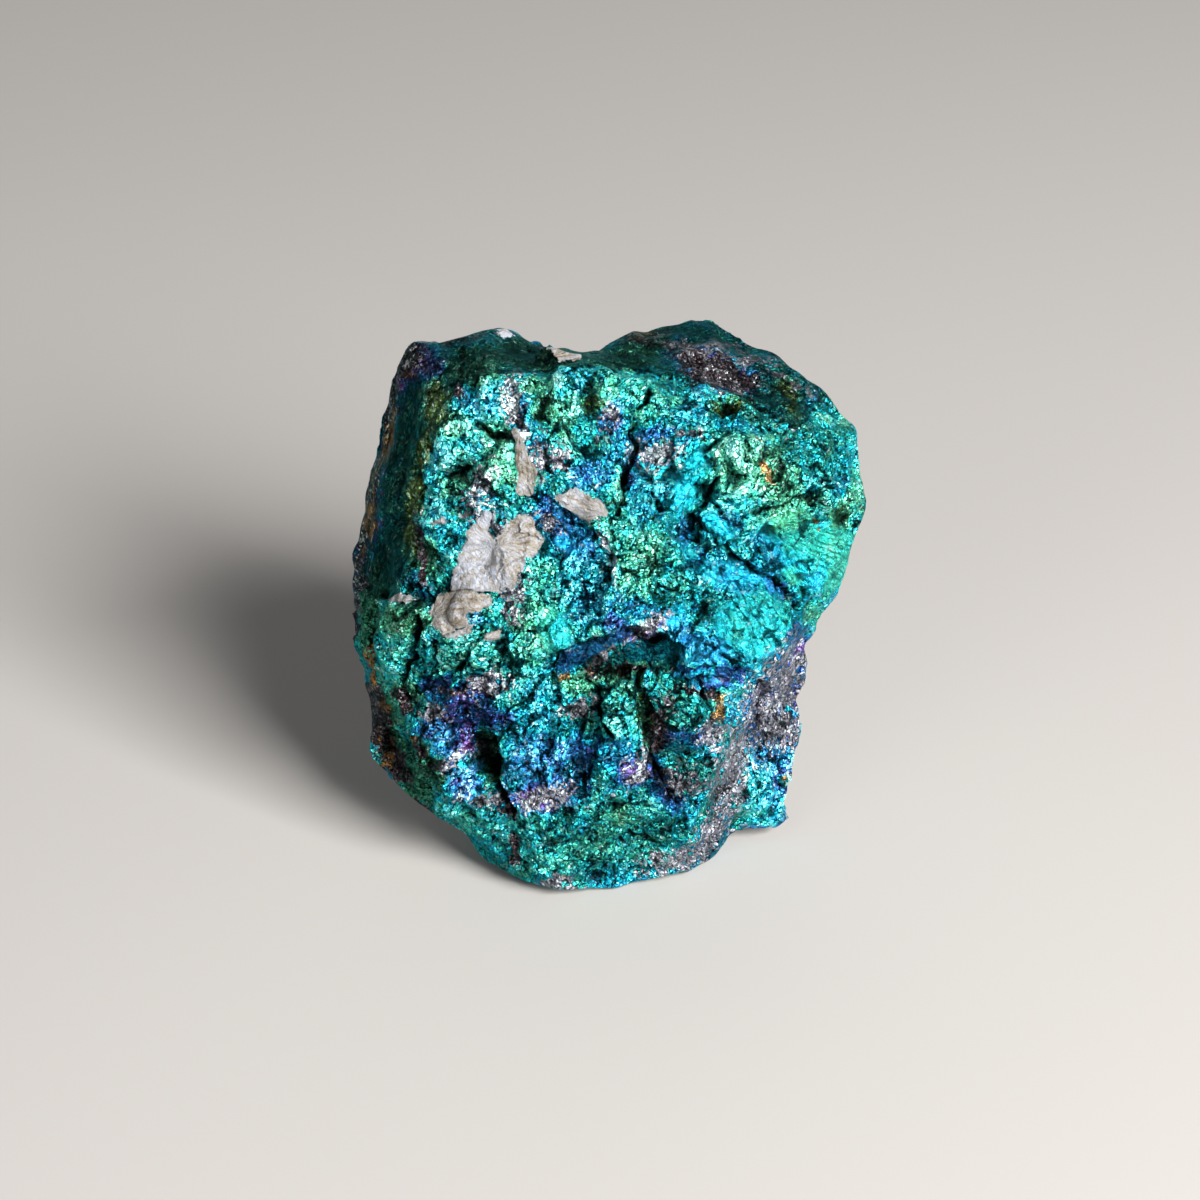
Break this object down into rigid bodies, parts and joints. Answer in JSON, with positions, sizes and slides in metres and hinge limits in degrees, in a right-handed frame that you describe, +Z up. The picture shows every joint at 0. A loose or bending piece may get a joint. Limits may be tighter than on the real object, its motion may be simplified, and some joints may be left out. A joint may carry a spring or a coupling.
{
  "type": "peacock ore",
  "caption": "Rough broken lump of iridescent copper ore that stands on a small flat of its underside, its broad sparkling fracture face leaning back.",
  "frame": {"origin": "middle of the lump's footprint box, on the table plane that its flat spot rests on", "axes": "+X to the right along the broad fracture face as seen from in front, +Y away from the viewer towards the back of the lump, +Z up; the fracture face looks towards -Y and leans back"},
  "size_m": [0.0465, 0.0314, 0.0452],
  "materials": {
    "tarnished_ore": "gloss"
  },
  "bodies": {
    "root": {"ore_lump": "tarnished_ore"}
  },
  "joints": []
}
